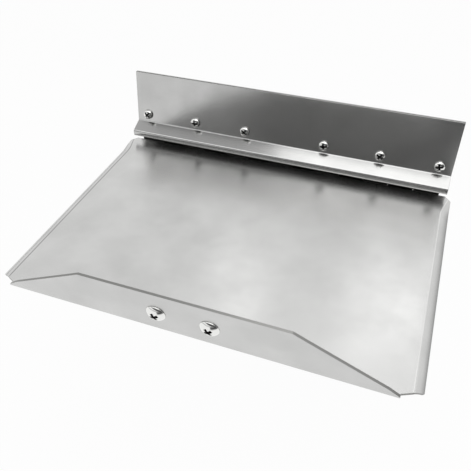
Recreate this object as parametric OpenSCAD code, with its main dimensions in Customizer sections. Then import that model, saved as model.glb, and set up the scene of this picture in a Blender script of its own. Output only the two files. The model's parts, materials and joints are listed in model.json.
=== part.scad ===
// Boat trim tab, about 12 x 9 in: a stainless plane that hinges on a transom plate.
// Millimetres. X runs along the hinge, +Y towards the boat, +Z up, with the plane lying level.
// The origin is the middle of the row of transom screws, on the rear face of the hinge plate.

/* [Transom plate] */
// Width of the backing sheet and the hinge plate, along the hinge
plate_w = 302; // [250:1:420]
// Height of the top edge above the hinge axis, along the plate
plate_h = 66; // [50:0.5:90]
// Thickness of the backing sheet
backing_t = 2; // [1.2:0.1:2.6]
// Angle between the plate and the upright, leaning towards the boat
plate_lean = 8; // [0:0.5:14]

/* [Hood] */
// Height above the hinge axis where the backing sheet turns out into the hood
hood_top = 17.4; // [14:0.2:20]
// Height above the hinge axis of the hood's shoulder
hood_shoulder = 10.4; // [8:0.2:12]
// Height above the hinge axis of the lip's lower edge
lip_bottom = 5.4; // [4.4:0.1:6]
// How far the lip stands out from the face of the backing sheet
hood_reach = 11.7; // [9:0.1:15]
// Inside radius of the bend at the top of the hood
hood_top_r = 3; // [1:0.5:4]
// Inside radius of the bend at the shoulder
hood_shoulder_r = 1; // [0.5:0.5:3]

/* [Hinge] */
// Length of the row of knuckles
hinge_len = 290; // [200:1:300]
// Number of knuckles, odd, so that the plate holds both ends
knuckle_count = 13; // [7:2:21]
// Outer diameter of a knuckle
knuckle_d = 6.4; // [5.6:0.1:7.2]
// Diameter of the hinge pin
pin_d = 3.2; // [2.4:0.1:3.6]
// Gap between the pin and a knuckle, on the radius
pin_gap = 0.05; // [0.02:0.01:0.1]
// Gap between neighbouring knuckles, along the hinge
knuckle_gap = 0.3; // [0.2:0.1:1]
// Thickness of both hinge leaves
leaf_t = 1.5; // [1:0.1:2]
// Length of the tab's leaf behind the hinge axis
leaf_len = 30; // [20:1:45]
// Distance from the hinge axis to the edge of a leaf beside the other leaf's knuckles
leaf_cut = 4.4; // [4:0.1:5]
// Gap at the seam where a knuckle's rolled end comes back to its leaf
seam = 0.3; // [0.2:0.05:0.5]

/* [Plane] */
// Width of the plane over its rolled side edges
plane_w = 311; // [250:1:430]
// Length of the plane, from its leading edge to the back of the flange's bend
plane_len = 218; // [150:0.5:300]
// Thickness of the plane's sheet
plane_t = 2; // [1.2:0.1:2.6]
// Distance from the hinge axis to the plane's leading edge
lead_gap = 4.6; // [4.4:0.1:8]
// Inside radius of the rolled side edges
roll_r = 10; // [6:0.5:14]
// Angle through which the side edges turn down
roll_angle = 40; // [20:1:55]
// Cut at a front corner, along the hinge and along the side
front_cut = [5, 6]; // [3:0.5:9]
// Cut at a rear corner, along the hinge and along the side
rear_cut = [14, 6.5]; // [4:0.5:16]

/* [Flange] */
// Height of the trailing flange from the plane's underside, along its rear face
flange_h = 40; // [30:0.5:55]
// Angle between the flange and the upright, leaning away from the boat
flange_lean = 6.5; // [0:0.5:12]
// Width of the flange along its top edge
flange_top_w = 147; // [100:1:200]
// Width of the flange along its foot
flange_foot_w = 283; // [220:1:283]
// Height of the flange at its ends, where the slanted edges start
flange_end_h = 5; // [4:0.5:10]
// Inside radius of the flange's bend
flange_r = 2; // [1:0.5:4]

/* [Transom screws] */
// Distance of the outermost screws from the plate's ends
screw_margin = 11.3; // [9:0.1:20]
// Distance between the two screws beside the middle
middle_pitch = 76.2; // [50:0.1:120]
// Height of the row of screws above the hinge axis
screw_row = 24.7; // [23:0.1:40]
// Diameter of a screw over its thread
screw_d = 4.8; // [4:0.1:5.5]
// Diameter of the plain neck that fills the sheets, under the head
neck_d = 4.3; // [3.6:0.1:4.7]
// Length of a screw's point
point_len = 4.3; // [3:0.1:6]
// Diameter of the blunt end of that point
tip_d = 0.6; // [0.3:0.1:1]
// Length of a screw under its head
screw_len = 31.8; // [20:0.1:50]
// Diameter of a pan head
pan_d = 9.4; // [8:0.1:11]
// Height of a pan head
pan_h = 3.4; // [2.5:0.1:4]
// Height of the straight rim of a pan head
pan_rim = 1.5; // [1:0.1:2]
// Cross recess of a pan head: its length, the width of its slots and its depth
pan_recess = [5.4, 1.2, 2.4]; // [0.8:0.1:7]
// Gap round each screw in its holes, on the radius
hole_gap = 0.25; // [0.1:0.05:0.5]

/* [Actuator fixings] */
// Distance between the two screws on the flange
foot_pitch = 38.1; // [30:0.1:60]
// Height of those screws from the plane's underside, along the flange's rear face
foot_row = 20.3; // [16:0.1:26]
// Diameter of a machine screw
bolt_d = 6.35; // [5:0.05:8]
// Length of a machine screw under its head
bolt_len = 12.7; // [10:0.1:20]
// Diameter of a truss head
truss_d = 14.4; // [12:0.1:18]
// Height of a truss head
truss_h = 3.8; // [3:0.1:5]
// Height of the straight rim of a truss head
truss_rim = 0.6; // [0.4:0.1:1.2]
// Cross recess of a truss head: its length, the width of its slots and its depth
truss_recess = [6.5, 1.6, 2.8]; // [0.8:0.1:9]
// Diameter of a washer
washer_d = 15.9; // [14:0.1:20]
// Thickness of a washer
washer_t = 1.6; // [1:0.1:2]
// Width of a lock nut across its flats
nut_flats = 11.1; // [10:0.1:14]
// Height of the nut's hexagon
nut_h = 3.6; // [3:0.1:6]
// Angle of the chamfer on the nut's corners
nut_chamfer = 30; // [15:5:45]
// Diameter of the nut's flat faces, inside that chamfer
nut_face_d = 10.5; // [9:0.1:13]
// Diameter of the collar that holds the nylon ring
collar_d = 10; // [9:0.1:12]
// Height of that collar
collar_h = 2; // [1.6:0.1:3]
// Wall of that collar
collar_wall = 0.8; // [0.5:0.1:1.1]
// How far the nylon ring lies below the collar's edge
ring_recess = 0.4; // [0.1:0.1:0.8]
// Gap between a screw and what it passes through, on the radius
thread_gap = 0.05; // [0.02:0.01:0.1]

/* [Hidden] */
$fn = 96;

// Long enough to cut right through any sheet
through = 60;
// Overlap that joins two volumes of one piece
weld = 0.4;
// Overlap of a straight stretch of sheet into the bend beside it
lap = 0.1;
// How much thinner the metal is in a bend, on each face
bend_thin = 0.02;

// Faces of the sheets, as distances from the hinge axis
knuckle_r = knuckle_d / 2;
plate_rear = knuckle_r;
plate_joint = plate_rear - leaf_t;
plate_front = plate_joint - backing_t;
leaf_top = leaf_t - knuckle_r;
plane_top = leaf_top + plane_t;

// Hood, measured along the face of the backing sheet
hood_drop = hood_top - hood_shoulder;
hood_turn = atan2(hood_reach, hood_drop);
hood_slope_len = norm([hood_reach, hood_drop]);
hood_top_tangent = hood_top_r * tan(hood_turn / 2);
hood_shoulder_tangent = (hood_shoulder_r + backing_t) * tan(hood_turn / 2);

// Knuckles: even places belong to the plate and odd ones to the tab
knuckle_pitch = hinge_len / knuckle_count;
knuckle_len = knuckle_pitch - knuckle_gap;

// Flange, measured along the underside of the plane and the rear face of the flange
flange_turn = 90 - flange_lean;
flange_tangent = (flange_r + plane_t) * tan(flange_turn / 2);
plane_flat = plane_len - flange_tangent;
flange_rise = flange_h * cos(flange_lean);
flange_end_rise = flange_end_h * cos(flange_lean);
foot_x = foot_pitch / 2;

// Side edges
roll_run = (roll_r + plane_t) * sin(roll_angle);
flat_half = plane_w / 2 - roll_run;

// Screws, from left to right: the others share what is left between the middle ones and the ends
screw_pitch = (plate_w - 2 * screw_margin - middle_pitch) / 4;
screw_places = [for (i = [-3, -2, -1, 1, 2, 3]) sign(i) * (middle_pitch / 2 + (abs(i) - 1) * screw_pitch)];
neck_len = backing_t + leaf_t;
hole_d = screw_d + 2 * hole_gap;
bolt_hole_d = bolt_d + 2 * hole_gap;
bolt_bore_d = bolt_d + 2 * thread_gap;
nut_seat = plane_t + washer_t;
insert_d = collar_d - 2 * collar_wall;

steel = "#c9cac7";
bright = "#dcdddb";
nylon = "#f0efe9";

// Frames

// The middle of the row of transom screws, seen from the hinge axis
mount_y = plate_rear * cos(plate_lean) + screw_row * sin(plate_lean);
mount_z = screw_row * cos(plate_lean) - plate_rear * sin(plate_lean);

// The tab's frame: the hinge axis is its X axis and the plane lies level behind it
module tab_frame() translate([0, -mount_y, -mount_z]) children();

// The plate's frame: the hinge axis is its X axis and the plate stands upright on it
module plate_frame() tab_frame() rotate([-plate_lean, 0, 0]) children();

// The flange's frame: Z runs forward through the flange from its rear face, Y up along it
module flange_frame(x) {
    tab_frame()
        translate([x, -lead_gap - plane_len, leaf_top])
        rotate([90 + flange_lean, 0, 0])
        translate([0, foot_row, 0])
        mirror([0, 0, 1])
        children();
}

// Shared shapes

// A profile drawn in Y and Z, drawn out along the hinge about x
module along_hinge(w, x = 0) {
    translate([x - w / 2, 0, 0]) rotate([90, 0, 90]) linear_extrude(w) children();
}

// A bend about the origin with inside radius r, from one angle to another less than 180 degrees away
module bend_sector(r, t, from, to) {
    far = 2 * (r + t);
    middle = (from + to) / 2;
    intersection() {
        difference() {
            circle(r + t - bend_thin);
            circle(r + bend_thin);
        }
        polygon([[0, 0], for (a = [from, middle, to]) far * [cos(a), sin(a)]]);
    }
}

// A bent sheet that starts along +X on its lower face. Each step is [length, turn, inside radius]:
// a straight stretch and the bend after it, which goes up where the turn is positive.
module bent_sheet(t, steps, i = 0) {
    run = steps[i][0];
    turn = steps[i][1];
    r = steps[i][2];
    lower_r = turn > 0 ? r + t : r;
    rise = turn > 0 ? 1 : -1;
    before = i > 0 ? lap : 0;
    after = turn != 0 ? lap : 0;
    if (run > 0) translate([-before, 0]) square([before + run + after, t]);
    if (turn != 0) translate([run, 0]) {
        if (turn > 0) translate([0, r + t]) bend_sector(r, t, -90, turn - 90);
        else translate([0, -r]) bend_sector(r, t, 90 + turn, 90);
        if (i + 1 < len(steps))
            translate([lower_r * sin(abs(turn)), rise * lower_r * (1 - cos(turn))])
                rotate(turn) bent_sheet(t, steps, i + 1);
    }
}

// A round head on the plane z = 0: a straight rim under a dome
module dome_head(d, h, rim) {
    r = d / 2;
    sag = h - rim;
    dome_r = (r * r + sag * sag) / (2 * sag);
    rotate_extrude() intersection() {
        square([r, h]);
        translate([0, h - dome_r]) circle(dome_r);
    }
}

// A cross recess that goes down into a head from its top at z = 0, narrower at its floor.
// Its size is [length, width of the slots, depth].
module cross_recess(size) {
    d = size[0];
    slot = size[1];
    depth = size[2];
    intersection() {
        translate([0, 0, -depth]) linear_extrude(depth + weld) {
            square([slot, d], center = true);
            square([d, slot], center = true);
        }
        translate([0, 0, -depth]) cylinder(d1 = d / 2, d2 = d, h = depth + weld);
    }
}

// Length along the hinge of knuckle i, and its middle
function knuckle_x(i) = (i - (knuckle_count - 1) / 2) * knuckle_pitch;

// The knuckles whose place is start, start + 2 and so on, each rolled from a tongue of its leaf.
// The children are a knuckle's tongue and the seam beside it.
module knuckles(start) {
    for (i = [start:2:knuckle_count - 1]) along_hinge(knuckle_len, knuckle_x(i)) difference() {
        union() {
            circle(knuckle_r);
            children(0);
        }
        circle(pin_d / 2 + pin_gap);
        children(1);
    }
}

// The holes of the transom screws, through whatever stands on the plate
module screw_holes() {
    for (x = screw_places) translate([x, 0, screw_row]) rotate([90, 0, 0])
        cylinder(d = hole_d, h = through, center = true);
}

// Pieces on the transom

// Front sheet, with the hood that covers the hinge
module backing_plate() {
    color(steel) plate_frame() difference() {
        along_hinge(plate_w) translate([plate_front, plate_h]) rotate(-90) bent_sheet(backing_t, [
            [plate_h - hood_top - hood_top_tangent, -hood_turn, hood_top_r],
            [hood_slope_len - hood_top_tangent - hood_shoulder_tangent, hood_turn, hood_shoulder_r],
            [hood_shoulder - lip_bottom - hood_shoulder_tangent, 0, 0]]);
        screw_holes();
    }
}

// Rear sheet, rolled into knuckles along its lower edge
module hinge_plate() {
    color(steel) plate_frame() {
        difference() {
            along_hinge(plate_w) translate([plate_joint, leaf_cut]) square([leaf_t, plate_h - leaf_cut]);
            screw_holes();
        }
        knuckles(0) {
            translate([plate_joint, 0]) square([leaf_t, leaf_cut + weld]);
            translate([plate_joint - seam, 0]) square([seam, knuckle_d]);
        }
    }
}

module hinge_pin() {
    color(bright) tab_frame() rotate([0, 90, 0]) cylinder(d = pin_d, h = hinge_len, center = true);
}

// Pan-head tapping screw number i, counted from the left
module transom_screw(i) {
    thread_len = screw_len - neck_len - point_len;
    color(bright) plate_frame() translate([screw_places[i - 1], plate_front, screw_row]) {
        rotate([90, 0, 0]) difference() {
            dome_head(pan_d, pan_h, pan_rim);
            translate([0, 0, pan_h]) cross_recess(pan_recess);
        }
        rotate([-90, 0, 0]) {
            translate([0, 0, -weld]) cylinder(d = neck_d, h = neck_len + 2 * weld);
            translate([0, 0, neck_len]) cylinder(d = screw_d, h = thread_len);
            translate([0, 0, neck_len + thread_len]) cylinder(d1 = screw_d, d2 = tip_d, h = point_len);
        }
    }
}

// Pieces on the tab

// The plane's outline from above, with its corners cut
module plane_outline() {
    half = plane_w / 2;
    front = -lead_gap;
    rear = -lead_gap - plane_flat;
    right = [
        [half - front_cut[0], front], [half, front - front_cut[1]],
        [half, rear + rear_cut[1]], [half - rear_cut[0], rear]];
    polygon(concat(right, [for (i = [3:-1:0]) [-right[i][0], right[i][1]]]));
}

// The flange's outline from behind, over the height of its bend and its straight part
module flange_outline() {
    polygon([
        [-flange_foot_w / 2, 0], [flange_foot_w / 2, 0], [flange_foot_w / 2, flange_end_rise],
        [flange_top_w / 2, flange_rise], [-flange_top_w / 2, flange_rise],
        [-flange_foot_w / 2, flange_end_rise]]);
}

// One sheet: a flat plane, side edges rolled down and a trailing flange turned up
module trim_plane() {
    color(steel) difference() {
        tab_frame() {
            intersection() {
                translate([0, 0, -through / 2]) linear_extrude(through) plane_outline();
                translate([0, -lead_gap, leaf_top]) rotate([90, 0, 0]) linear_extrude(plane_flat)
                    for (side = [0, 1]) mirror([side, 0])
                        bent_sheet(plane_t, [[flat_half, -roll_angle, roll_r]]);
            }
            intersection() {
                translate([0, -lead_gap, leaf_top]) mirror([0, 1, 0]) along_hinge(flange_foot_w)
                    translate([plane_flat - weld, 0]) bent_sheet(plane_t, [
                        [weld, flange_turn, flange_r],
                        [flange_h - flange_tangent, 0, 0]]);
                translate([0, -lead_gap - plane_flat + weld, leaf_top]) rotate([90, 0, 0])
                    linear_extrude(through) flange_outline();
            }
        }
        for (side = [-1, 1]) flange_frame(side * foot_x)
            cylinder(d = bolt_hole_d, h = through, center = true);
    }
}

// Leaf under the plane's leading edge, rolled into the knuckles between the plate's own
module tab_leaf() {
    color(steel) tab_frame() {
        along_hinge(hinge_len) translate([-leaf_len, -knuckle_r]) square([leaf_len - leaf_cut, leaf_t]);
        knuckles(1) {
            translate([-leaf_cut - weld, -knuckle_r]) square([leaf_cut + weld, leaf_t]);
            translate([-knuckle_d, leaf_top]) square([knuckle_d, seam]);
        }
    }
}

// Truss-head machine screw, its head on the flange's rear face
module actuator_screw(x) {
    color(bright) flange_frame(x) {
        mirror([0, 0, 1]) difference() {
            dome_head(truss_d, truss_h, truss_rim);
            translate([0, 0, truss_h]) cross_recess(truss_recess);
        }
        translate([0, 0, -weld]) cylinder(d = bolt_d, h = bolt_len + weld);
    }
}

module actuator_washer(x) {
    color(bright) flange_frame(x) translate([0, 0, plane_t]) difference() {
        cylinder(d = washer_d, h = washer_t);
        translate([0, 0, -weld]) cylinder(d = bolt_hole_d, h = washer_t + 2 * weld);
    }
}

// A hexagon whose corners are chamfered at both faces
module hexagon() {
    corner_r = nut_flats / (2 * cos(30));
    face_r = nut_face_d / 2;
    out = corner_r - face_r + weld;
    rise = out * tan(nut_chamfer);
    intersection() {
        cylinder(r = corner_r, h = nut_h, $fn = 6);
        rotate_extrude() polygon([
            [0, 0], [face_r, 0], [face_r + out, rise],
            [face_r + out, nut_h - rise], [face_r, nut_h], [0, nut_h]]);
    }
}

// Lock nut on the washer, with a pocket for its nylon ring
module actuator_nut(x) {
    color(bright) flange_frame(x) translate([0, 0, nut_seat]) difference() {
        union() {
            hexagon();
            translate([0, 0, nut_h - weld]) cylinder(d = collar_d, h = collar_h + weld);
        }
        translate([0, 0, -weld]) cylinder(d = bolt_bore_d, h = nut_h + 2 * weld);
        translate([0, 0, nut_h]) cylinder(d = insert_d, h = collar_h + weld);
    }
}

module nut_insert(x) {
    color(nylon) flange_frame(x) translate([0, 0, nut_seat + nut_h]) difference() {
        cylinder(d = insert_d, h = collar_h - ring_recess);
        translate([0, 0, -weld]) cylinder(d = bolt_bore_d, h = collar_h + weld);
    }
}

// Drawing

backing_plate();
hinge_plate();
hinge_pin();
for (i = [1:6]) transom_screw(i);
trim_plane();
tab_leaf();
for (side = [["left", -foot_x], ["right", foot_x]]) {
    actuator_screw(side[1]);
    actuator_washer(side[1]);
    actuator_nut(side[1]);
    nut_insert(side[1]);
}
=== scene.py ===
"""Dresses a hinged boat trim tab: sheet pieces with softened edges, screws with threads and cross
recesses, stainless and nylon finishes, and a plain white studio."""

import json
import math
from collections import namedtuple

import bpy
import numpy as np
from mathutils import Matrix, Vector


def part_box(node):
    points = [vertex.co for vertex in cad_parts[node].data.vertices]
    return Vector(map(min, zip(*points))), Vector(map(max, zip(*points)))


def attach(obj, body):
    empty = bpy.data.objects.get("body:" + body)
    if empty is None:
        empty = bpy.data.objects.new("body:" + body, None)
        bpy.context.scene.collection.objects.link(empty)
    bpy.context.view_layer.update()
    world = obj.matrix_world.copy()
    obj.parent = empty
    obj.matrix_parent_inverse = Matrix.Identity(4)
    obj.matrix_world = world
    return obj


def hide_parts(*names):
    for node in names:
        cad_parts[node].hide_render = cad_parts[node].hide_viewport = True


bl_info = {
    "name": "Boat trim tab",
    "version": (1, 0, 0),
    "blender": (4, 5, 0),
    "location": "3D View > Sidebar > Trim tab",
    "description": "Builds the visible pieces, the finishes and the studio of a hinged boat trim tab",
    "category": "Object",
}

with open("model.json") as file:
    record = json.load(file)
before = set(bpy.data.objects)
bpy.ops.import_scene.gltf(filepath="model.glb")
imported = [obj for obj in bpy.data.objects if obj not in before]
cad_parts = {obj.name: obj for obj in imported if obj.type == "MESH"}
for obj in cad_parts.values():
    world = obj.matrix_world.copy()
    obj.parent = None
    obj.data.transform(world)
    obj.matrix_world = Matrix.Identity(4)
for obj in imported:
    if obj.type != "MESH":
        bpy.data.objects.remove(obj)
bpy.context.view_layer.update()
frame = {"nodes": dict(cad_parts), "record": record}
HINGE = np.array(frame["record"]["behaviour"]["joints"][0]["pos_m"])
PLANE_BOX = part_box("trim_plane")
PLATE_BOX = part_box("backing_plate")
# Keeps the rolled sides, which are rounder here than on the solid, inside the solid's box
BOX_MARGIN = 0.0002
# The floor lies below the reach of the tab, so that the tab swings clear of it at every pose
FLOOR_CLEARANCE = 0.004
FLOOR_Z = float(HINGE[2] - (HINGE[1] - PLANE_BOX[0].y) - FLOOR_CLEARANCE)
# Half the floor's width: its far end meets the horizon
FLOOR_HALF = 36.0

ON_TRANSOM = "transom_mount"
ON_TAB = "tab"

# How finely the surfaces are drawn
PLANE_GAP = 0.006  # the most between two rows of the plane
PLANE_COLUMNS = 57  # on the plane's flat part, besides its two painted crease lines
BESIDE_LINE = 0.995  # where the outermost of those stand on the flat half width, so that the lines stay thin
ROLL_COLUMNS = 12  # round each rolled side
PLATE_COLUMNS = 41
TURN_ROWS = 12  # to each turn of a thread
# Radii of a head's rings as shares of its own: close together over the recess, then on to the rim
HEAD_RINGS = np.concatenate([np.linspace(0.02, 0.62, 44), np.linspace(0.66, 1, 16) ** 0.8])

ROLL_AT_LEAD = 0.1  # share of the roll that is there at the leading edge itself
DULL, BURNISHED = 1, -0.35  # marks of the left and the right painted crease line: painted shade and painted highlight
RIDGE_HALF = 0.36  # half a thread ridge's width at its foot, as a share of the pitch
ROOT_RESIDUE = 0.6  # share of painted shade between the ridges
HEAD_ROUND = 0.0001  # how far a head's lower edge is drawn in
RECESS_TURN = 2.4  # how much further each tapping screw was driven than the last, in radians
WINDOW_RATIO = 1.7  # power of the right window lamp over that of the left one
WALL_LEAN = 3.5  # how far round the dark wall's left end moves over a unit of height, in radians
# Reflections spread towards this: across the hinge on the plane, and up and down on the plate
ACROSS_STREAKS = (0, 0.7, 0.7)

# A screw's head: diameter, height, height of the straight rim, fullness of the dome, and the cross recess
Head = namedtuple("Head", "d h rim fullness reach half_slot depth")
# A screw's shank: plain neck, thread, and the point with the share of the radius that is left at its tip
Shank = namedtuple("Shank", "neck_r neck_len root_r crest_r pitch length point_len tip")


def length(name, text, default):
    """A size in metres that the sidebar shows in the scene's length unit."""
    return bpy.props.FloatProperty(
        name=name, description=text, default=default, unit="LENGTH", subtype="DISTANCE", precision=5)


def angle(name, text, degrees):
    """An angle that the sidebar shows in degrees."""
    return bpy.props.FloatProperty(
        name=name, description=text, default=math.radians(degrees), subtype="ANGLE")


def colour(name, text, code):
    """A colour written as an sRGB hex code."""
    return bpy.props.StringProperty(name=name, description=text, default=code, maxlen=7)


def watts(name, text, default):
    """A lamp's power."""
    return bpy.props.FloatProperty(name=name, description=text, default=default, unit="POWER")


def fraction(name, text, default):
    """A share or strength from 0 to 1."""
    return bpy.props.FloatProperty(name=name, description=text, default=default, subtype="FACTOR", min=0, max=1)


class TRIMTAB_PG_sheet(bpy.types.PropertyGroup):
    """Sizes of the two sheets that show: the plane and the backing plate."""

    thickness: length("Thickness", "Thickness of both sheets", 0.00196)
    edge: length("Edge", "Radius of the deburred edges", 0.0005)
    plane_w: length("Plane width", "Width over the rolled sides", PLANE_BOX[1].x - PLANE_BOX[0].x - BOX_MARGIN)
    plane_len: length("Plane length", "Leading edge to the back of the flange's bend", 0.218)
    lead_gap: length("Leading gap", "Hinge axis to the leading edge", 0.0046)
    plane_foot: length("Plane underside", "Height of the plane's underside from the hinge axis", -0.0017)
    roll_r: length("Roll radius", "Inside radius of the rolled sides", 0.010)
    roll_angle: angle("Roll angle", "How far the sides turn down beyond the crease", 34.6)
    roll_crease: angle("Roll crease", "Sharp turn where the rolled sides begin", 5)
    roll_start: length("Roll start", "Length over which the roll grows behind the leading edge", 0.022)
    front_cut: bpy.props.FloatVectorProperty(
        name="Front corner cut", description="Along the hinge and along the side", size=2,
        default=(0.005, 0.006), unit="LENGTH", precision=5)
    rear_cut: bpy.props.FloatVectorProperty(
        name="Rear corner cut", description="Along the hinge and along the side", size=2,
        default=(0.014, 0.0065), unit="LENGTH", precision=5)
    flange_h: length("Flange height", "Along the flange's rear face", 0.040)
    flange_lean: angle("Flange lean", "Away from the boat", 6.5)
    flange_top_w: length("Flange top", "Width of the flange's top edge", 0.147)
    flange_end_h: length("Flange ends", "Height where the slanted edges start", 0.005)
    flange_r: length("Flange bend", "Inside radius of the flange's bend", 0.002)
    plate_w: length("Plate width", "Width of the backing plate", PLATE_BOX[1].x - PLATE_BOX[0].x)
    plate_h: length("Plate height", "Hinge axis to the top edge, along the plate", 0.066)
    plate_face: length("Plate face", "How far the front face stands out from the hinge axis", 0.0003)
    plate_lean: angle("Plate lean", "Towards the boat", 8)
    hood_top: length("Hood top", "Height where the sheet turns out into the hood", 0.0174)
    hood_shoulder: length("Hood shoulder", "Height of the shoulder", 0.0104)
    hood_reach: length("Hood reach", "How far the lip stands out from the face", 0.0117)
    lip_bottom: length("Lip edge", "Height of the lip's lower edge", 0.0054)
    hood_top_r: length("Hood top bend", "Inside radius of the upper bend", 0.0015)
    hood_shoulder_r: length("Hood shoulder bend", "Inside radius of the lower bend", 0.001)
    lip_tuck: angle("Lip tuck", "How far the lip turns in below the shoulder", 8)
    lip_curl: angle("Lip curl", "How much further its lower edge turns in", 24)
    lip_curl_r: length("Lip curl radius", "Radius of that edge's bend", 0.004)


class TRIMTAB_PG_screws(bpy.types.PropertyGroup):
    """Sizes of the tapping screws in the plate and of the machine screws in the flange."""

    pan_d: length("Pan head", "Diameter of a tapping screw's head", 0.0094)
    pan_h: length("Pan height", "Height of that head", 0.0034)
    tapping_d: length("Tapping thread", "Diameter over the thread", 0.0048)
    tapping_pitch: length("Tapping pitch", "Distance between turns", 0.0016)
    tapping_len: length("Tapping length", "Length under the head", 0.0318)
    neck_d: length("Neck", "Diameter of the plain neck under a pan head", 0.0043)
    neck_len: length("Neck length", "Length of that neck, through both sheets", 0.0035)
    point_len: length("Point", "Length of a tapping screw's point", 0.0043)
    truss_d: length("Truss head", "Diameter of a machine screw's head", 0.0144)
    truss_h: length("Truss height", "Height of that head", 0.00377)
    machine_d: length("Machine thread", "Diameter over the thread", 0.00635)
    machine_pitch: length("Machine pitch", "Distance between turns", 0.00127)
    machine_len: length("Machine length", "Length under the head", 0.0127)
    foot_pitch: length("Foot spacing", "Distance between the two screws on the flange", 0.0381)
    foot_row: length("Foot height", "Their height along the flange's rear face", 0.0203)
    screw_row: length("Screw row", "Height of the plate's screws above the hinge axis", 0.0247)
    first_screw: length("First screw", "Distance of the inner screws from the middle", 0.0381)
    screw_pitch: length("Screw spacing", "Spacing of the others, outwards", 0.0508)


class TRIMTAB_PG_finish(bpy.types.PropertyGroup):
    """Colours of the finishes."""

    sheet_light: colour("Plane, light", "The plane's sheet where it is cleanest", "#D1D1D0")
    sheet_dark: colour("Plane, dark", "The plane's sheet where rolling left it duller", "#C5C5C4")
    plate_light: colour("Plate, light", "The plate's sheet where it is cleanest", "#C5C5C4")
    plate_dark: colour("Plate, dark", "The plate's sheet where rolling left it duller", "#BABAB9")
    # Painted shade along the plane's crease lines; mixed the other way, the same colour gives the painted highlight
    # on the right one
    die_line: colour("Die line", "Where the bending die pressed the plane's sheet", "#808080")
    sheared: colour("Cut edges", "Stainless sheet where it was sheared", "#757573")
    sheared_dark: colour("Cut edges, dark", "The same in its scratches", "#646462")
    filed: colour("Filed edges", "Edges of the plane, filed smooth", "#949492")
    filed_dark: colour("Filed edges, dark", "The same in their scratches", "#828280")
    # Dark of the leaves' cut ends, and painted shade around the hinge knuckles
    grease: colour("Grease", "Old grease on the knuckles", "#3A3A38")
    polished: colour("Screws", "Polished stainless screw heads", "#EBEBE9")
    # Painted shade: the dark colour painted into the cross recesses and, thinly, into the thread roots
    recess: colour("Recess", "Residue in the cross recesses", "#1C1C1D")
    turned: colour("Nuts", "Turned stainless nuts and washers", "#CFCFCB")
    nylon: colour("Nylon", "Undyed nylon locking rings", "#EEECE4")
    nylon_dark: colour("Nylon, dark", "The same where the mould left it rougher", "#E2DFD4")
    floor: colour("Floor", "Plain pale floor", "#F2F2F2")


class TRIMTAB_PG_studio(bpy.types.PropertyGroup):
    """Camera, lamps and surroundings."""

    camera: bpy.props.FloatVectorProperty(
        name="Camera", description="Place of the camera", size=3,
        default=(0.11795, -0.44217, 0.27331), unit="LENGTH", subtype="TRANSLATION", precision=5)
    azimuth: angle("Azimuth", "How far the camera has gone round to the right", 20.85)
    elevation: angle("Elevation", "How far the camera looks down", 40.86)
    roll: angle("Roll", "Turn about the line of sight", -0.87)
    lens: bpy.props.FloatProperty(
        name="Lens", description="Focal length on a 36 mm square sensor", default=42.88, unit="CAMERA")
    overhead: watts("Overhead lamp", "Power of the large lamp above the tab", 3.75)
    front: watts("Front lamp", "Power of the lamp to the left of the camera", 1.0)
    window: watts("Window lamps", "Power of the right one of the two small lamps beyond the plate", 0.17)
    room: fraction("Room light", "Strength of the surroundings on matt surfaces", 0.6)
    ceiling: fraction("Ceiling", "How bright metal shows the ceiling", 0.55)
    horizon: fraction("Horizon", "How bright metal shows the horizon", 0.28)
    wall: fraction("Dark wall", "How bright metal shows the wall on the camera's side", 0.1)
    backdrop: fraction("Backdrop share", "How much of the floor's brightness takes no shadow", 0.95)
    mirrored: fraction("Mirrored share", "The same share where metal mirrors the floor", 1.0)


GROUPS = {
    "trimtab_sheet": TRIMTAB_PG_sheet,
    "trimtab_screws": TRIMTAB_PG_screws,
    "trimtab_finish": TRIMTAB_PG_finish,
    "trimtab_studio": TRIMTAB_PG_studio,
}


# Surfaces

def bent_line(start, heading, steps, run_gap=0.008, bend_gap=math.radians(5)):
    """Points along a line of straight runs and round bends, as (n, 2).

    Each step is (run, turn, radius). Along a run, a point is the start plus the distance times the
    heading. In a bend it goes round a centre one radius to the left for a positive turn and to the
    right for a negative one. Runs and bends are cut into equal stretches no longer than their gaps.
    """
    at, way = np.array(start, float), float(heading)
    points = [at[None]]
    for run, turn, radius in steps:
        s = np.linspace(0, run, max(2, math.ceil(run / run_gap)) + 1)[1:]
        points.append(at + s[:, None] * np.array([math.cos(way), math.sin(way)]))
        at = points[-1][-1]
        if turn:
            a = way + np.linspace(0, turn, math.ceil(abs(turn) / bend_gap) + 1)[1:]
            round_centre = np.stack([np.sin(a) - math.sin(way), math.cos(way) - np.cos(a)], axis=1)
            points.append(at + math.copysign(radius, turn) * round_centre)
            at, way = points[-1][-1], way + turn
    return np.concatenate(points)


def grid_faces(rows, columns, closed=False):
    """Corner numbers of the faces between neighbouring rows and columns.

    If closed, the last column joins the first.
    """
    corner = np.arange(rows * columns).reshape(rows, columns)
    if closed:
        corner = np.concatenate([corner, corner[:, :1]], axis=1)
    around = [corner[:-1, :-1], corner[1:, :-1], corner[1:, 1:], corner[:-1, 1:]]
    return np.stack(around, axis=-1).reshape(-1, 4)


def make_piece(name, points, faces, finish, body, nodes):
    """A smooth mesh object at the origin that rides on a body and stands for CAD nodes."""
    mesh = bpy.data.meshes.new(name)
    mesh.from_pydata(points.reshape(-1, 3).tolist(), [], faces)
    mesh.shade_smooth()
    mesh.materials.append(finish)
    piece = bpy.data.objects.new(name, mesh)
    bpy.context.scene.collection.objects.link(piece)
    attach(piece, body)
    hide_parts(*nodes)
    return piece


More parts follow.
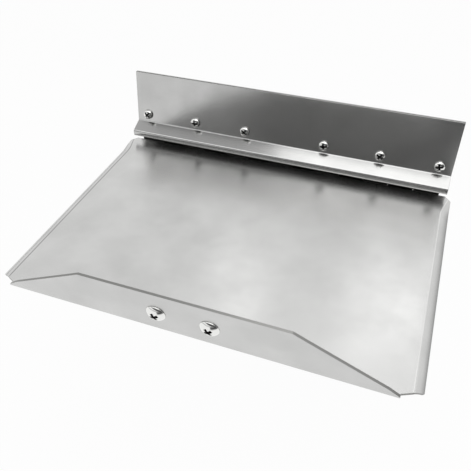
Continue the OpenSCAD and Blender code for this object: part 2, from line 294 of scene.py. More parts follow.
def thicken(piece, sheet, rim):
    """Gives a sheet's middle surface its thickness, its cut rim and its deburred edges."""
    piece.data.materials.append(rim)
    piece.modifiers.new("Merge", "WELD").merge_threshold = 0.00002
    wall = piece.modifiers.new("Thickness", "SOLIDIFY")
    wall.thickness = sheet.thickness
    wall.offset = 0
    wall.use_even_offset = True
    wall.material_offset_rim = 1
    edge = piece.modifiers.new("Deburred edges", "BEVEL")
    edge.width = sheet.edge
    edge.segments = 3
    edge.limit_method = "ANGLE"
    edge.angle_limit = math.radians(40)
    flat = piece.modifiers.new("Flat faces", "WEIGHTED_NORMAL")
    flat.mode = "FACE_AREA"
    flat.weight = 100


def plate_to_row(x, out, up, lean):
    """Points on the plate, given along the hinge, out from the plate and up it.

    They are turned about the hinge by the plate's lean.
    """
    y = -out * math.cos(lean) + up * math.sin(lean)
    z = out * math.sin(lean) + up * math.cos(lean)
    return np.stack(np.broadcast_arrays(x, y, z), axis=-1) + HINGE


def plane_surface(sheet):
    """The plane's middle surface, bent from one flat blank, and the marks of the two painted crease lines.

    Rows follow a side view: level, then round the flange's bend and up the flange. The half width
    of each row is straight-line interpolation between the corners of the cut blank. Columns go from the
    middle to the start of the roll and on round it: beyond the flat part, a point at the angle a has gone
    radius * sin a outwards and radius * (1 - cos a) down, and the crease adds a straight slope to that.
    Both grow from the leading edge. The painted crease lines lie where the sides begin to roll.
    """
    t, lead = sheet.thickness, sheet.lead_gap
    turn = math.pi / 2 - sheet.flange_lean
    tangent = (sheet.flange_r + t) * math.tan(turn / 2)
    flat_len = sheet.plane_len - tangent
    half = sheet.plane_w / 2
    roll_mid, roll_out = sheet.roll_r + t / 2, sheet.roll_r + t
    (front_in, front_back), (rear_in, rear_back) = sheet.front_cut, sheet.rear_cut
    foot_half = half - rear_in
    full_roll = roll_out * math.sin(sheet.roll_angle)
    # A row of points lies where the rear cut comes out of the roll
    crossing = flat_len - rear_back * (half - full_roll - foot_half) / rear_in
    to_crossing = (crossing - flat_len + rear_back) / 2
    runs = [front_back / 2, front_back / 2, flat_len - rear_back - front_back, to_crossing, to_crossing]
    steps = [(run, 0, 0) for run in runs] + [
        (flat_len - crossing, turn, sheet.flange_r + t / 2), (sheet.flange_h - tangent, 0, 0)]
    back, up = bent_line((lead, sheet.plane_foot + t / 2), 0, steps, run_gap=PLANE_GAP).T

    level = np.interp(back, [lead, lead + front_back, lead + flat_len - rear_back, lead + flat_len],
                      [half - front_in, half, half, foot_half])
    slant = np.array([sheet.flange_end_h, sheet.flange_h]) * math.cos(sheet.flange_lean)
    upright = np.interp(up - sheet.plane_foot, slant, [foot_half, sheet.flange_top_w / 2])
    width = np.where(back <= lead + flat_len, level, upright)[:, None]
    grown = np.interp(back, [lead, lead + sheet.roll_start], [ROLL_AT_LEAD, 1])[:, None]
    flat_half = half - roll_out * np.sin(sheet.roll_angle * grown)
    inner = np.minimum(width, flat_half)

    middle = np.concatenate([[-1], np.linspace(-BESIDE_LINE, BESIDE_LINE, PLANE_COLUMNS), [1]])[None]
    outer = np.linspace(0, 1, ROLL_COLUMNS + 1)[None, 1:]
    roll = np.arcsin(np.clip((width - flat_half) / roll_out, 0, 1)) * outer
    x_roll = inner + roll_mid * np.sin(roll)
    drop = roll_mid * (1 - np.cos(roll)) + np.tan(sheet.roll_crease * grown) * roll_mid * np.sin(roll)
    level_part = inner * middle
    x = np.concatenate([-x_roll[:, ::-1], level_part, x_roll], axis=1)
    down = np.concatenate([drop[:, ::-1], 0 * level_part, drop], axis=1)
    points = np.stack([x, np.broadcast_to(-back[:, None], x.shape), up[:, None] - down], axis=-1) + HINGE

    # Painted crease lines: painted shade along the left crease, and a painted highlight along the right one
    pressed = (np.abs(middle) == 1) & (width > flat_half + sheet.edge)
    marks = pressed * np.where(middle < 0, DULL, BURNISHED)
    return points, np.concatenate([0 * drop, marks, 0 * drop], axis=1)


def plate_surface(sheet):
    """The backing plate's middle surface: its bent side view carried along the hinge."""
    t = sheet.thickness
    fall = sheet.hood_top - sheet.hood_shoulder
    turn = math.atan2(sheet.hood_reach, fall)
    half_tan = math.tan(turn / 2)
    top_tangent = sheet.hood_top_r * half_tan
    shoulder_tangent = (sheet.hood_shoulder_r + t) * half_tan
    steps = [
        (sheet.plate_h - sheet.hood_top - top_tangent, turn, sheet.hood_top_r + t / 2),
        (math.hypot(sheet.hood_reach, fall) - top_tangent - shoulder_tangent,
         -turn - sheet.lip_tuck, sheet.hood_shoulder_r + t / 2),
        (sheet.hood_shoulder - sheet.lip_bottom - shoulder_tangent - sheet.lip_curl * sheet.lip_curl_r,
         -sheet.lip_curl, sheet.lip_curl_r)]
    out, up = bent_line((sheet.plate_face - t / 2, sheet.plate_h), -math.pi / 2, steps).T
    x = np.linspace(-sheet.plate_w / 2, sheet.plate_w / 2, PLATE_COLUMNS)
    return plate_to_row(x[None], out[:, None], up[:, None], sheet.plate_lean)


def cross_depth(x, y, reach, half_slot, depth, soft=0.00012, rise=0.7):
    """Depth of a cross recess below a head's top, and its share from 0 outside to 1 inside.

    A wing is where the distance across it is under half a slot and the distance along it is under the
    reach, both with a ramp as wide as soft. The floor rises in a straight line from the middle to the
    ends, by the share rise of the depth.
    """
    def wing(along, across):
        inside = np.clip((half_slot - np.abs(across)) / soft, 0, 1)
        return inside * np.clip((reach - np.abs(along)) / soft, 0, 1)
    share = np.maximum(wing(x, y), wing(y, x))
    return depth * (1 - rise * np.hypot(x, y) / reach) * share, share


def screw_surface(head, shank, turned, around=96):
    """A whole screw about its own Z axis, head up from z = 0, as rows of points, two poles and marks of painted
    shade.

    Head: the height falls from the top by (1 - (r / R)^2)^fullness down to a short straight rim, less the
    cross recess. Shank: the radius is the root's plus a ridge whose height depends on the fractional part of
    depth / pitch - angle / turn, so the ridges join into one helix; it fades in at the start and tapers at
    the end. Painted shade fills the recess and lies thinly between the ridges.
    """
    d, h, rim, fullness, reach, half_slot, depth = head
    a = np.linspace(0, 2 * math.pi, around, endpoint=False)[None]
    r = (d / 2 * HEAD_RINGS)[:, None]
    share_r = np.clip(r / (d / 2), 0, 1)
    top = rim + (h - rim) * (1 - share_r ** 2) ** fullness
    cut, recess = cross_depth(r * np.cos(a - turned), r * np.sin(a - turned), reach, half_slot, depth)
    head_z = top - cut
    head_r = np.broadcast_to(r, head_z.shape)
    under = np.array([[d / 2, rim / 2], [d / 2 - HEAD_ROUND, 0], [(d / 2 + shank.neck_r) / 2, 0]])

    z = np.linspace(0, shank.length, int(shank.length / shank.pitch * TURN_ROWS))[:, None]
    phase = np.mod(z / shank.pitch - a / (2 * math.pi), 1)
    ridge = np.clip(1 - np.abs(phase - 0.5) / RIDGE_HALF, 0, 1)
    grow = np.clip((z - shank.neck_len) / shank.pitch, 0, 1)
    point = np.clip((shank.length - z) / shank.point_len, shank.tip, 1)
    plain = shank.neck_r + (shank.root_r - shank.neck_r) * grow
    shank_r = (plain + (shank.crest_r - shank.root_r) * ridge * grow) * point

    radius = np.concatenate([head_r, np.repeat(under[:, :1], around, axis=1), shank_r])
    height = np.concatenate([head_z, np.repeat(under[:, 1:], around, axis=1), np.repeat(-z, around, axis=1)])
    # Marks of painted shade: full in the cross recess, thin in the thread roots
    marks = np.concatenate([recess, np.zeros((len(under), around)), ROOT_RESIDUE * (1 - ridge) * grow])
    points = np.stack([radius * np.cos(a), radius * np.sin(a), height], axis=-1)
    poles = np.array([[0, 0, float(h - depth)], [0, 0, -shank.length]])
    return points, poles, marks


def make_screw(name, surface, place, finish, body, node):
    """Puts a screw's surface in place as one closed piece, with a mark on each point that takes painted shade."""
    points, poles, marks = surface
    rows, around = points.shape[:2]
    first, last = rows * around, rows * around + 1
    ring = np.arange(around)
    after = np.roll(ring, -1)
    end = (rows - 1) * around
    faces = grid_faces(rows, around, closed=True).tolist()
    faces += np.stack([np.full(around, first), ring, after], axis=1).tolist()
    faces += np.stack([np.full(around, last), end + after, end + ring], axis=1).tolist()
    whole = np.concatenate([points.reshape(-1, 3), poles])
    turn = np.array(place.to_3x3())
    whole = whole @ turn.T + np.array(place.translation)
    piece = make_piece(name, whole, faces, finish, body, [node])
    # The first pole lies in the recess and takes the painted shade, and the second, at the tip, takes none
    piece.data.attributes.new("recess", "FLOAT", "POINT").data.foreach_set(
        "value", np.concatenate([marks.ravel(), [1, 0]]).astype(np.float32))
    piece.data.set_sharp_from_angle(angle=math.radians(38))


# Finishes

def linear(code):
    """An sRGB hex code as the linear colour that shaders take."""
    s = np.array([int(code[i:i + 2], 16) for i in (1, 3, 5)]) / 255
    return (*np.where(s <= 0.04045, s / 12.92, ((s + 0.055) / 1.055) ** 2.4).tolist(), 1.0)


def add_node(tree, kind, inputs=None, **settings):
    """Adds a shader node with its settings; an input is a value, or another node's socket to link."""
    node = tree.nodes.new("ShaderNode" + kind)
    for key, value in settings.items():
        setattr(node, key, value)
    for key, value in (inputs or {}).items():
        if isinstance(value, bpy.types.NodeSocket):
            tree.links.new(value, node.inputs[key])
        else:
            node.inputs[key].default_value = value
    return node


def new_finish(name):
    """An empty node material, its tree and its output node."""
    finish = bpy.data.materials.new(name)
    finish.use_nodes = True
    finish.node_tree.nodes.clear()
    return finish, finish.node_tree, add_node(finish.node_tree, "OutputMaterial")


def per_metre(mm):
    """Noise scale whose features are about so many millimetres wide."""
    return 1000 / mm


def rolled_surface(tree, dark, light, die_line, rough):
    """Colour, roughness and normal of cold-rolled, pickled stainless sheet.

    Rolling leaves fine streaks along the hinge, drawn 1.2 mm wide and 60 mm long, coarser than the real ones
    so that they show. Pickling and handling leave clouds about 30 mm across, and the sheet ripples over about
    90 mm. Where the piece is marked for it, a thin line is painted along the crease: painted shade for a
    positive mark, and a painted highlight, lighter than the sheet, for a negative one.
    """
    place = add_node(tree, "TexCoord").outputs["Object"]
    along = add_node(tree, "Mapping", {
        "Vector": place, "Scale": (per_metre(60), per_metre(1.2), per_metre(1.2))})
    streaks = add_node(tree, "TexNoise", {
        "Vector": along.outputs[0], "Scale": 1.0, "Detail": 3.0, "Roughness": 0.6})
    clouds = add_node(tree, "TexNoise", {
        "Vector": place, "Scale": per_metre(30), "Detail": 4.0, "Roughness": 0.5})
    ripples = add_node(tree, "TexNoise", {
        "Vector": place, "Scale": per_metre(90), "Detail": 1.0, "Roughness": 0.4})
    mixed = add_node(tree, "Mix", {
        "Factor": 0.1, "A": clouds.outputs["Fac"], "B": streaks.outputs["Fac"]})
    tone = add_node(tree, "MapRange", {
        "Value": mixed.outputs[0], "From Min": 0.25, "From Max": 0.75})
    shade = add_node(tree, "Mix", {
        "Factor": tone.outputs[0], "A": linear(dark), "B": linear(light)}, data_type="RGBA")
    # Painted shade where the crease mark is positive, and a painted highlight where it is negative
    line = add_node(tree, "Attribute", attribute_name="die_line")
    pressed = add_node(tree, "Mix", {
        "Factor": line.outputs["Fac"], "A": shade.outputs["Result"], "B": linear(die_line)},
        data_type="RGBA", clamp_factor=False)
    gloss = add_node(tree, "MapRange", {
        "Value": mixed.outputs[0], "From Min": 0.35, "From Max": 0.65,
        "To Min": rough + 0.02, "To Max": rough - 0.02})
    grain = add_node(tree, "Bump", {
        "Height": streaks.outputs["Fac"], "Strength": 0.005, "Distance": 0.0001})
    bumps = add_node(tree, "Bump", {
        "Height": ripples.outputs["Fac"], "Strength": 0.14, "Distance": 0.0006, "Normal": grain.outputs[0]})
    return pressed.outputs["Result"], gloss.outputs[0], bumps.outputs[0]


def rolled_sheet(name, dark, light, die_line, rough, spread):
    """Stainless steel 304, cold rolled and pickled: pale grey, blurring reflections across its rolling streaks."""
    finish, tree, out = new_finish(name)
    shade, gloss, bumps = rolled_surface(tree, dark, light, die_line, rough)
    across = add_node(tree, "VectorTransform", {0: ACROSS_STREAKS}, vector_type="VECTOR",
                      convert_from="OBJECT", convert_to="WORLD")
    metal = add_node(tree, "BsdfPrincipled", {
        "Base Color": shade, "Metallic": 1.0, "Roughness": gloss, "Normal": bumps,
        "Anisotropic": spread, "Tangent": across.outputs[0]})
    tree.links.new(metal.outputs[0], out.inputs[0])
    return finish


def plane_sheet(colours):
    """The plane's sheet, scoured by water: satin."""
    return rolled_sheet("satin_stainless", colours.sheet_dark, colours.sheet_light, colours.die_line,
                        rough=0.25, spread=0.6)


def plate_sheet(colours):
    """The plate's sheet, sheltered against the hull: still as glossy as it left the rolls."""
    return rolled_sheet("glossy_stainless", colours.plate_dark, colours.plate_light, colours.die_line,
                        rough=0.19, spread=0.3)


def cut_edge(name, dark, light, rough):
    """Cut edges of stainless sheet: duller than the faces, with scratches about 0.3 mm apart."""
    finish, tree, out = new_finish(name)
    place = add_node(tree, "TexCoord").outputs["Object"]
    scratches = add_node(tree, "TexNoise", {
        "Vector": place, "Scale": per_metre(0.3), "Detail": 2.0, "Roughness": 0.6})
    shade = add_node(tree, "Mix", {
        "Factor": scratches.outputs["Fac"], "A": linear(dark), "B": linear(light)}, data_type="RGBA")
    bumps = add_node(tree, "Bump", {
        "Height": scratches.outputs["Fac"], "Strength": 0.2, "Distance": 0.00003})
    metal = add_node(tree, "BsdfPrincipled", {
        "Base Color": shade.outputs["Result"], "Metallic": 1.0, "Roughness": rough, "Normal": bumps.outputs[0]})
    tree.links.new(metal.outputs[0], out.inputs[0])
    return finish


def sheared_edge(colours):
    """The plate's edges, left as the shear cut them: dark grey."""
    return cut_edge("sheared_stainless", colours.sheared_dark, colours.sheared, rough=0.5)


def filed_edge(colours):
    """The plane's edges, filed smooth so that they don't cut a hand: greyer than the sheet."""
    return cut_edge("filed_stainless", colours.filed_dark, colours.filed, rough=0.3)


def hinge_leaf(colours):
    """The leaves of the hinge: the same sheet, dark where it is cut, and painted dark around the knuckles as shade.

    Faces that look along the hinge are cut edges. The painted shade reaches from the knuckles about 8 mm to either
    side.
    """
    finish, tree, out = new_finish("greased_stainless")
    shade, gloss, bumps = rolled_surface(
        tree, colours.sheet_dark, colours.sheet_light, colours.die_line, rough=0.27)
    spot = add_node(tree, "TexCoord")
    facing = add_node(tree, "SeparateXYZ", {0: spot.outputs["Normal"]})
    cut = add_node(tree, "Math", {0: facing.outputs["X"]}, operation="ABSOLUTE")
    from_pin = add_node(tree, "VectorMath", {
        0: spot.outputs["Object"], 1: HINGE.tolist()}, operation="SUBTRACT")
    across = add_node(tree, "VectorMath", {0: from_pin.outputs[0], 1: (0, 1, 1)}, operation="MULTIPLY")
    reach = add_node(tree, "VectorMath", {0: across.outputs[0]}, operation="LENGTH")
    # Painted shade around the knuckles: full within 5 mm of the hinge axis, fading out by 8 mm
    near = add_node(tree, "MapRange", {
        "Value": reach.outputs["Value"], "From Min": 0.005, "From Max": 0.008, "To Min": 1.0, "To Max": 0.0})
    cover = add_node(tree, "Math", {0: cut.outputs[0], 1: near.outputs[0]}, operation="MAXIMUM")
    dulled = add_node(tree, "Mix", {
        "Factor": cover.outputs[0], "A": shade, "B": linear(colours.grease)}, data_type="RGBA")
    rough = add_node(tree, "Mix", {"Factor": cover.outputs[0], "A": gloss, "B": 0.5})
    metal = add_node(tree, "BsdfPrincipled", {
        "Base Color": dulled.outputs["Result"], "Metallic": 1.0, "Roughness": rough.outputs[0], "Normal": bumps})
    tree.links.new(metal.outputs[0], out.inputs[0])
    return finish


def polished_screw(colours):
    """Stainless screws, cold headed and tumbled bright: almost white mirrors with small dents about 1.5 mm across.

    The stamped cross recess is painted dark as shade, so it looks black from most sides, and the thread roots get a
    little painted shade.
    """
    finish, tree, out = new_finish("polished_stainless")
    place = add_node(tree, "TexCoord").outputs["Object"]
    dents = add_node(tree, "TexNoise", {
        "Vector": place, "Scale": per_metre(1.5), "Detail": 2.0, "Roughness": 0.5})
    mark = add_node(tree, "Attribute", attribute_name="recess")
    # Painted shade: the recess colour is mixed in where the recess attribute marks the cross recess and the thread
    # roots
    shade = add_node(tree, "Mix", {
        "Factor": mark.outputs["Fac"], "A": linear(colours.polished), "B": linear(colours.recess)},
        data_type="RGBA")
    gloss = add_node(tree, "MapRange", {
        "Value": dents.outputs["Fac"], "From Min": 0.3, "From Max": 0.7, "To Min": 0.08, "To Max": 0.18})
    bumps = add_node(tree, "Bump", {
        "Height": dents.outputs["Fac"], "Strength": 0.15, "Distance": 0.00005})
    metal = add_node(tree, "BsdfPrincipled", {
        "Base Color": shade.outputs["Result"], "Metallic": 1.0, "Roughness": gloss.outputs[0],
        "Normal": bumps.outputs[0]})
    tree.links.new(metal.outputs[0], out.inputs[0])
    return finish


def turned_stainless(colours):
    """Stainless nuts, washers and pin, turned or stamped: a little greyer, with tool marks about 0.4 mm apart."""
    finish, tree, out = new_finish("turned_stainless")
    place = add_node(tree, "TexCoord").outputs["Object"]
    marks = add_node(tree, "TexNoise", {
        "Vector": place, "Scale": per_metre(0.4), "Detail": 2.0, "Roughness": 0.6})
    clouds = add_node(tree, "TexNoise", {
        "Vector": place, "Scale": per_metre(6), "Detail": 2.0})
    shade = add_node(tree, "Mix", {
        "Factor": clouds.outputs["Fac"], "A": linear(colours.sheet_dark), "B": linear(colours.turned)},
        data_type="RGBA")
    gloss = add_node(tree, "MapRange", {
        "Value": marks.outputs["Fac"], "From Min": 0.3, "From Max": 0.7, "To Min": 0.2, "To Max": 0.34})
    bumps = add_node(tree, "Bump", {
        "Height": marks.outputs["Fac"], "Strength": 0.2, "Distance": 0.00004})
    metal = add_node(tree, "BsdfPrincipled", {
        "Base Color": shade.outputs["Result"], "Metallic": 1.0, "Roughness": gloss.outputs[0],
        "Normal": bumps.outputs[0]})
    tree.links.new(metal.outputs[0], out.inputs[0])
    return finish


def undyed_nylon(colours):
    """Nylon 6/6, moulded and undyed: a waxy, slightly translucent off-white with a mould texture 0.5 mm across."""
    finish, tree, out = new_finish("undyed_nylon")
    place = add_node(tree, "TexCoord").outputs["Object"]
    skin = add_node(tree, "TexNoise", {
        "Vector": place, "Scale": per_metre(0.5), "Detail": 2.0})
    shade = add_node(tree, "Mix", {
        "Factor": skin.outputs["Fac"], "A": linear(colours.nylon_dark), "B": linear(colours.nylon)},
        data_type="RGBA")
    bumps = add_node(tree, "Bump", {
        "Height": skin.outputs["Fac"], "Strength": 0.2, "Distance": 0.00003})
    plastic = add_node(tree, "BsdfPrincipled", {
        "Base Color": shade.outputs["Result"], "Roughness": 0.42, "IOR": 1.53, "Normal": bumps.outputs[0],
        "Subsurface Weight": 0.15, "Subsurface Radius": (0.001, 0.001, 0.0008), "Subsurface Scale": 1.0})
    tree.links.new(plastic.outputs[0], out.inputs[0])
    return finish


def finish_named(name, maker):
    """The finish of that name, made on first use."""
    return bpy.data.materials.get(name) or maker(bpy.context.scene.trimtab_finish)


def dress(nodes, finish):
    """Gives CAD nodes a finish."""
    for name in nodes:
        node = frame["nodes"][name]
        if not node.material_slots:
            node.data.materials.append(finish)
        for slot in node.material_slots:
            slot.material = finish


# Operators

class TRIMTAB_OT_plane(bpy.types.Operator):
    """Make the trim plane from one bent sheet"""

    bl_idname = "trimtab.plane"
    bl_label = "Trim plane"

    def execute(self, context):
        sheet = context.scene.trimtab_sheet
        points, die_line = plane_surface(sheet)
        faces = grid_faces(*points.shape[:2]).tolist()
        piece = make_piece("trim_plane_sheet", points, faces, finish_named("satin_stainless", plane_sheet),
                           ON_TAB, ["trim_plane"])
        # Marks of the painted crease lines: shade on the left, highlight on the right
        piece.data.attributes.new("die_line", "FLOAT", "POINT").data.foreach_set(
            "value", die_line.ravel().astype(np.float32))
        thicken(piece, sheet, finish_named("filed_stainless", filed_edge))
        return {"FINISHED"}


class TRIMTAB_OT_plate(bpy.types.Operator):
    """Make the hooded backing plate from one bent sheet"""

    bl_idname = "trimtab.plate"
    bl_label = "Backing plate"

    def execute(self, context):
        sheet = context.scene.trimtab_sheet
        points = plate_surface(sheet)
        faces = grid_faces(*points.shape[:2]).tolist()
        piece = make_piece("backing_plate_sheet", points, faces, finish_named("glossy_stainless", plate_sheet),
                           ON_TRANSOM, ["backing_plate"])
        thicken(piece, sheet, finish_named("sheared_stainless", sheared_edge))
        return {"FINISHED"}


class TRIMTAB_OT_hinge(bpy.types.Operator):
    """Finish the hinge: both leaves and the pin"""

    bl_idname = "trimtab.hinge"
    bl_label = "Hinge"

    def execute(self, context):
        dress(["hinge_plate", "tab_leaf"], finish_named("greased_stainless", hinge_leaf))
        dress(["hinge_pin"], finish_named("turned_stainless", turned_stainless))
        return {"FINISHED"}


class TRIMTAB_OT_transom_screws(bpy.types.Operator):
    """Make the six tapping screws of the transom plate"""

    bl_idname = "trimtab.transom_screws"
    bl_label = "Transom screws"

    def execute(self, context):
        sheet, screws = context.scene.trimtab_sheet, context.scene.trimtab_screws
        d, h = screws.pan_d, screws.pan_h
        head = Head(d, h, rim=0.3 * h, fullness=0.5, reach=0.32 * d, half_slot=0.09 * d, depth=0.75 * h)
        shank = Shank(
            neck_r=screws.neck_d / 2, neck_len=screws.neck_len, root_r=0.36 * screws.tapping_d,
            crest_r=screws.tapping_d / 2, pitch=screws.tapping_pitch, length=screws.tapping_len,
            point_len=screws.point_len, tip=0.12)
        half_row = [screws.first_screw + i * screws.screw_pitch for i in range(3)]
        places = [-x for x in reversed(half_row)] + half_row
        facing = Matrix.Rotation(math.pi / 2 - sheet.plate_lean, 4, "X")
        for number, x in enumerate(places, 1):
            seat = plate_to_row(x, sheet.plate_face, screws.screw_row, sheet.plate_lean)
            surface = screw_surface(head, shank, turned=RECESS_TURN * number)
            make_screw(f"tapping_screw_{number}", surface, Matrix.Translation(seat.tolist()) @ facing,
                       finish_named("polished_stainless", polished_screw), ON_TRANSOM, f"transom_screw_{number}")
        return {"FINISHED"}


class TRIMTAB_OT_fixings(bpy.types.Operator):
    """Make the two machine screws of the flange and finish their nuts, washers and locking rings"""

    bl_idname = "trimtab.fixings"
    bl_label = "Actuator fixings"

    def execute(self, context):
        sheet, screws = context.scene.trimtab_sheet, context.scene.trimtab_screws
        d, h = screws.truss_d, screws.truss_h
        head = Head(d, h, rim=0.1 * h, fullness=0.8, reach=0.225 * d, half_slot=0.075 * d, depth=0.75 * h)
        shank = Shank(
            neck_r=screws.machine_d / 2, neck_len=0.0, root_r=0.4 * screws.machine_d,
            crest_r=screws.machine_d / 2, pitch=screws.machine_pitch, length=screws.machine_len,
            point_len=0.0006, tip=0.8)
        lean = sheet.flange_lean
        y = -sheet.lead_gap - sheet.plane_len - screws.foot_row * math.sin(lean)
        z = sheet.plane_foot + screws.foot_row * math.cos(lean)
        facing = Matrix.Rotation(math.pi / 2 + lean, 4, "X")
        for side, sign, turned in (("left", -1, 0.5), ("right", 1, 0.65)):
            seat = HINGE + np.array([sign * screws.foot_pitch / 2, y, z])
            surface = screw_surface(head, shank, turned, around=128)
            make_screw(f"machine_screw_{side}", surface, Matrix.Translation(seat.tolist()) @ facing,
                       finish_named("polished_stainless", polished_screw), ON_TAB, f"actuator_screw_{side}")
            dress([f"actuator_nut_{side}", f"actuator_washer_{side}"],
                  finish_named("turned_stainless", turned_stainless))
            dress([f"nut_insert_{side}"], finish_named("undyed_nylon", undyed_nylon))
        return {"FINISHED"}


class TRIMTAB_OT_stage(bpy.types.Operator):
    """Set up the white studio: floor, surroundings, lamps and camera"""

    bl_idname = "trimtab.stage"
    bl_label = "Studio"

    def execute(self, context):
        scene, studio = context.scene, context.scene.trimtab_studio
        self.make_floor(scene, studio)
        self.make_surroundings(scene, studio)
        # Each lamp's name, size, power and place
        for lamp in (
                ("overhead_lamp", (0.82, 1.1), studio.overhead, (0.19, -0.25, 0.9)),
                ("front_lamp", (0.9, 0.5), studio.front, (-0.65, -0.8, 0.9)),
                ("window_lamp_right", (0.23, 0.15), studio.window, (0.135, 0.67, 0.876)),
                ("window_lamp_left", (0.19, 0.07), studio.window / WINDOW_RATIO, (-0.275, 0.565, 0.876))):
            self.make_lamp(scene, *lamp)
        self.make_camera(scene, studio)
        scene.view_settings.view_transform = "Standard"
        return {"FINISHED"}

    def make_floor(self, scene, studio):
        """A square of floor under the tab: white paper that still takes a little of the shadow.

        Metal shows it dark at the foot of the dark wall, and it is clear when seen from below.
        """
        finish, tree, out = new_finish("white_paper")
        path = add_node(tree, "LightPath")
        through = self.by_metal(tree)
        clear = add_node(tree, "MapRange", {
            "Value": path.outputs["Ray Length"], "From Min": 0.002, "From Max": 0.014, "To Max": studio.mirrored})
        mirrored = add_node(tree, "Math", {0: through, 1: clear.outputs[0]}, operation="MULTIPLY")
        share = add_node(tree, "Mix", {
            "Factor": path.outputs["Is Camera Ray"], "A": mirrored.outputs[0], "B": studio.backdrop})
        paper = add_node(tree, "BsdfDiffuse", {"Color": linear(scene.trimtab_finish.floor)})
        place = add_node(tree, "TexCoord").outputs["Object"]
        spot = add_node(tree, "SeparateXYZ", {0: place})
        ahead = add_node(tree, "MapRange", {
            "Value": spot.outputs["Y"], "From Min": -1.0, "From Max": -0.7, "To Min": 1.0, "To Max": 0.0})
        right = add_node(tree, "MapRange", {
            "Value": spot.outputs["X"], "From Min": 0.0, "From Max": 0.15})
        corner = add_node(tree, "Math", {0: ahead.outputs[0], 1: right.outputs[0]}, operation="MULTIPLY")
        foot = add_node(tree, "Math", {0: corner.outputs[0], 1: through}, operation="MULTIPLY")
        lit = add_node(tree, "MapRange", {
            "Value": foot.outputs[0], "To Min": self.after_bounces(tree), "To Max": studio.wall})
        white = add_node(tree, "Emission", {"Strength": lit.outputs[0]})
        both = add_node(tree, "MixShader", {
            0: share.outputs[0], 1: paper.outputs[0], 2: white.outputs[0]})
        below = add_node(tree, "NewGeometry").outputs["Backfacing"]
        under = add_node(tree, "Math", {
            0: below, 1: path.outputs["Is Camera Ray"]}, operation="MULTIPLY")
        glass = add_node(tree, "BsdfTransparent")
        shown = add_node(tree, "MixShader", {
            0: under.outputs[0], 1: both.outputs[0], 2: glass.outputs[0]})
        tree.links.new(shown.outputs[0], out.inputs[0])
        corners = np.array([[-1, -1], [1, -1], [1, 1], [-1, 1]]) * FLOOR_HALF
        mesh = bpy.data.meshes.new("floor")
        mesh.from_pydata(np.c_[corners, np.full(4, FLOOR_Z)].tolist(), [], [(0, 1, 2, 3)])
        mesh.materials.append(finish)
        floor = bpy.data.objects.new("floor", mesh)
        scene.collection.objects.link(floor)

    def by_metal(self, tree):
        """1 for light that reaches the camera by way of metal or a clear piece, and 0 for the rest."""
        path = add_node(tree, "LightPath")
        return add_node(tree, "Math", {
            0: path.outputs["Is Glossy Ray"], 1: path.outputs["Is Transmission Ray"]},
            operation="MAXIMUM").outputs[0]

    def after_bounces(self, tree, full=2):
        """1 for light that has met the object up to that many times, and less for light caught in a gap."""
        depth = add_node(tree, "LightPath").outputs["Ray Depth"]
        return add_node(tree, "MapRange", {
            "Value": depth, "From Min": full, "From Max": full + 2, "To Min": 1.0, "To Max": 0.3}).outputs[0]

    def make_surroundings(self, scene, studio):
        """A white room as metal shows it: grey above, dimmer towards the horizon and dark on the camera's side.

        The dark wall stands on the camera's right, up to about 35 degrees, and its left end leans outwards.
        Metal sees a long grey slope beyond the plate on the right and a bright gap on the left.
        """
        world = bpy.data.worlds.new("white_room")
        world.use_nodes = True
        tree = world.node_tree
        tree.nodes.clear()
        sight = add_node(tree, "TexCoord").outputs["Generated"]
        x, y, z = add_node(tree, "SeparateXYZ", {0: sight}).outputs
        # Angles to the right about Z, from straight before the tab and from straight beyond it
        towards = add_node(tree, "Math", {0: y, 1: -1.0}, operation="MULTIPLY").outputs[0]
        before = add_node(tree, "Math", {0: x, 1: towards}, operation="ARCTAN2").outputs[0]
        beyond = add_node(tree, "Math", {0: x, 1: y}, operation="ARCTAN2").outputs[0]
        leaning = add_node(tree, "Math", {0: z, 1: WALL_LEAN, 2: before}, operation="MULTIPLY_ADD").outputs[0]

        # Each part of the room fades from its first level to its last between two values of another part, or of
        # the product of several
        part = {"x": x, "y": y, "z": z, "before": before, "beyond": beyond, "leaning": leaning}
        for name, value, start, end, first, last in (
                ("wall left", "leaning", 0.54, 0.64, 0.0, 1.0),
                ("wall right", "before", math.radians(70), math.radians(90), 1.0, 0.0),
                ("wall top", "z", 0.5, 0.64, 1.0, 0.0),
                ("wall", ("wall left", "wall right", "wall top"), 0.0, 1.0, 1.0, studio.wall),
                ("ceiling", "z", 0.78, 0.9, 1.0, studio.ceiling),
                ("back", "y", 0.0, 0.3, 0.0, 1.0),
                ("slope", "x", 0.2, 0.4, 0.0, "back"),
                ("slope top", "slope", 0.0, 1.0, 0.16, 0.5),
                ("gap left", "beyond", math.radians(-42), math.radians(-34), 0.0, 1.0),
                ("gap right", "beyond", math.radians(-8), math.radians(2), 1.0, 0.0),
                ("horizon", ("gap left", "gap right"), 0.0, 1.0, studio.horizon, 1.0)):
            factors = [value] if isinstance(value, str) else value
            level = part[factors[0]]
            for factor in factors[1:]:
                level = add_node(tree, "Math", {0: level, 1: part[factor]}, operation="MULTIPLY").outputs[0]
            part[name] = add_node(tree, "MapRange", {
                "Value": level, "From Min": start, "From Max": end,
                "To Min": first, "To Max": part.get(last, last)}, interpolation_type="SMOOTHSTEP").outputs[0]
        low = add_node(tree, "MapRange", {
            "Value": z, "From Min": 0.0, "From Max": part["slope top"], "To Min": part["horizon"], "To Max": 1.0})
        room = part["ceiling"]
        for factor in (part["wall"], low.outputs[0], self.after_bounces(tree)):
            room = add_node(tree, "Math", {0: room, 1: factor}, operation="MULTIPLY").outputs[0]
        matt = add_node(tree, "Mix", {"Factor": self.by_metal(tree), "A": studio.room, "B": room})
        seen = add_node(tree, "LightPath").outputs["Is Camera Ray"]
        level = add_node(tree, "Mix", {"Factor": seen, "A": matt.outputs[0], "B": 1.0})
        light = add_node(tree, "Background", {"Color": (1, 1, 1, 1), "Strength": level.outputs[0]})
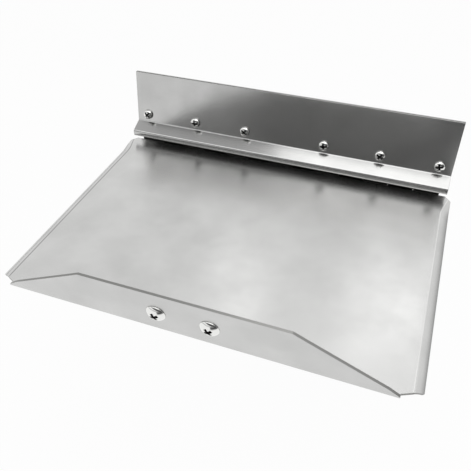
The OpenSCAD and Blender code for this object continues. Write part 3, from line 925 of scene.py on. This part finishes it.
        shown = add_node(tree, "OutputWorld", {"Surface": light.outputs[0]})
        shown.is_active_output = True
        scene.world = world

    def make_lamp(self, scene, name, size, power, place):
        """A soft rectangular lamp that faces straight down."""
        lamp = bpy.data.lights.new(name, "AREA")
        lamp.shape = "RECTANGLE"
        lamp.size, lamp.size_y = size
        lamp.energy = power
        lamp.use_nodes = True
        tree = lamp.node_tree
        tree.nodes.clear()
        white = add_node(tree, "Emission", {"Strength": self.after_bounces(tree, full=3)})
        add_node(tree, "OutputLight", {0: white.outputs[0]})
        thing = bpy.data.objects.new(name, lamp)
        scene.collection.objects.link(thing)
        thing.matrix_world = Matrix.Translation(place)
        thing.visible_camera = False

    def make_camera(self, scene, studio):
        """A camera turned about Z by the azimuth, down by the elevation and about its line of sight by the roll."""
        camera = bpy.data.cameras.new("camera")
        camera.sensor_width = 36
        camera.lens = studio.lens
        thing = bpy.data.objects.new("camera", camera)
        scene.collection.objects.link(thing)
        thing.matrix_world = (
            Matrix.Translation(studio.camera)
            @ Matrix.Rotation(studio.azimuth, 4, "Z")
            @ Matrix.Rotation(math.pi / 2 - studio.elevation, 4, "X")
            @ Matrix.Rotation(studio.roll, 4, "Z"))
        scene.camera = thing


class TRIMTAB_PT_sidebar(bpy.types.Panel):
    """Lists the steps and the values they use."""

    bl_idname = "TRIMTAB_PT_sidebar"
    bl_label = "Trim tab"
    bl_space_type = "VIEW_3D"
    bl_region_type = "UI"
    bl_category = "Trim tab"

    def draw(self, context):
        for step in STEPS:
            self.layout.operator(step.bl_idname)
        for name in GROUPS:
            box = self.layout.box()
            values = getattr(context.scene, name)
            for key in values.bl_rna.properties.keys():
                if key not in ("rna_type", "name"):
                    box.prop(values, key)


STEPS = (
    TRIMTAB_OT_stage, TRIMTAB_OT_plane, TRIMTAB_OT_plate, TRIMTAB_OT_hinge,
    TRIMTAB_OT_transom_screws, TRIMTAB_OT_fixings)


def register():
    for group in GROUPS.values():
        bpy.utils.register_class(group)
    for name, group in GROUPS.items():
        setattr(bpy.types.Scene, name, bpy.props.PointerProperty(type=group))
    for step in STEPS:
        bpy.utils.register_class(step)
    bpy.utils.register_class(TRIMTAB_PT_sidebar)


def unregister():
    bpy.utils.unregister_class(TRIMTAB_PT_sidebar)
    for step in reversed(STEPS):
        bpy.utils.unregister_class(step)
    for name in GROUPS:
        delattr(bpy.types.Scene, name)
    for group in reversed(list(GROUPS.values())):
        bpy.utils.unregister_class(group)


def main():
    register()
    for step in STEPS:
        group, name = step.bl_idname.split(".")
        getattr(getattr(bpy.ops, group), name)()


if __name__ == "__main__":
    main()
